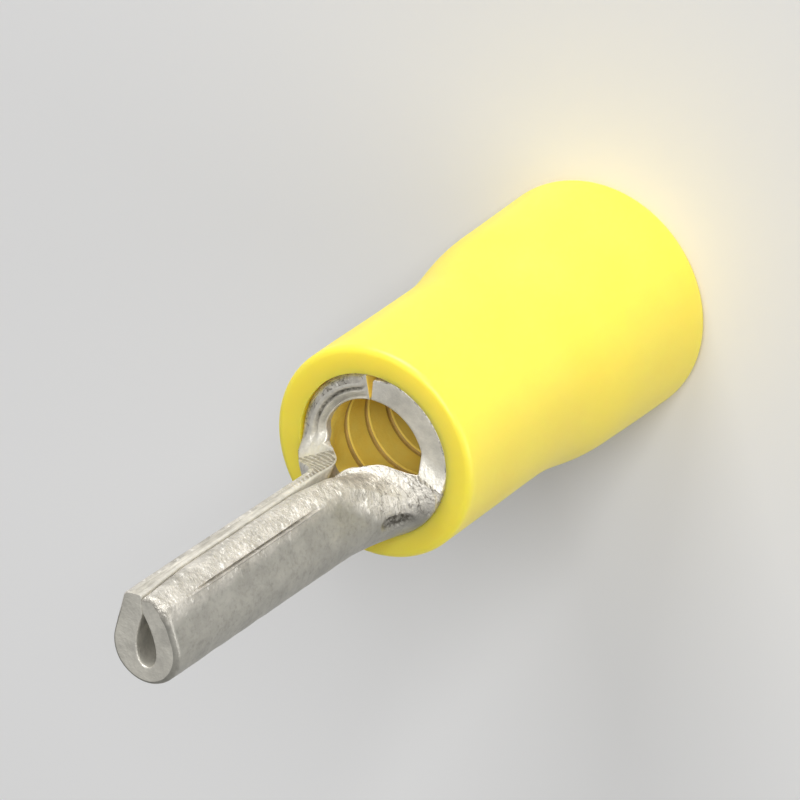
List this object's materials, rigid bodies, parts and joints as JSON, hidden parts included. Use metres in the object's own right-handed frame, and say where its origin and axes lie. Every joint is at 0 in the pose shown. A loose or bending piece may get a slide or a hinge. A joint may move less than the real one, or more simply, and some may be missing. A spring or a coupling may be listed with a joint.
{
  "type": "insulated pin terminal",
  "caption": "Insulated pin terminal: folded sheet pin and crimp barrel in a flared yellow sleeve, crimped on a wire end so it seats in a screw clamp.",
  "frame": {"origin": "centre of the sleeve's flared mouth, which the part stands on", "axes": "+Z along the terminal towards the pin tip, -Y towards the barrel's and the pin's seam"},
  "size_m": [0.0076, 0.0076, 0.0249],
  "materials": {
    "terminal": "satin tin plating over copper",
    "sleeve": "soft gloss vinyl, slightly translucent"
  },
  "bodies": {
    "root": {"pin_terminal": "terminal", "insulating_sleeve": "sleeve"}
  },
  "joints": []
}
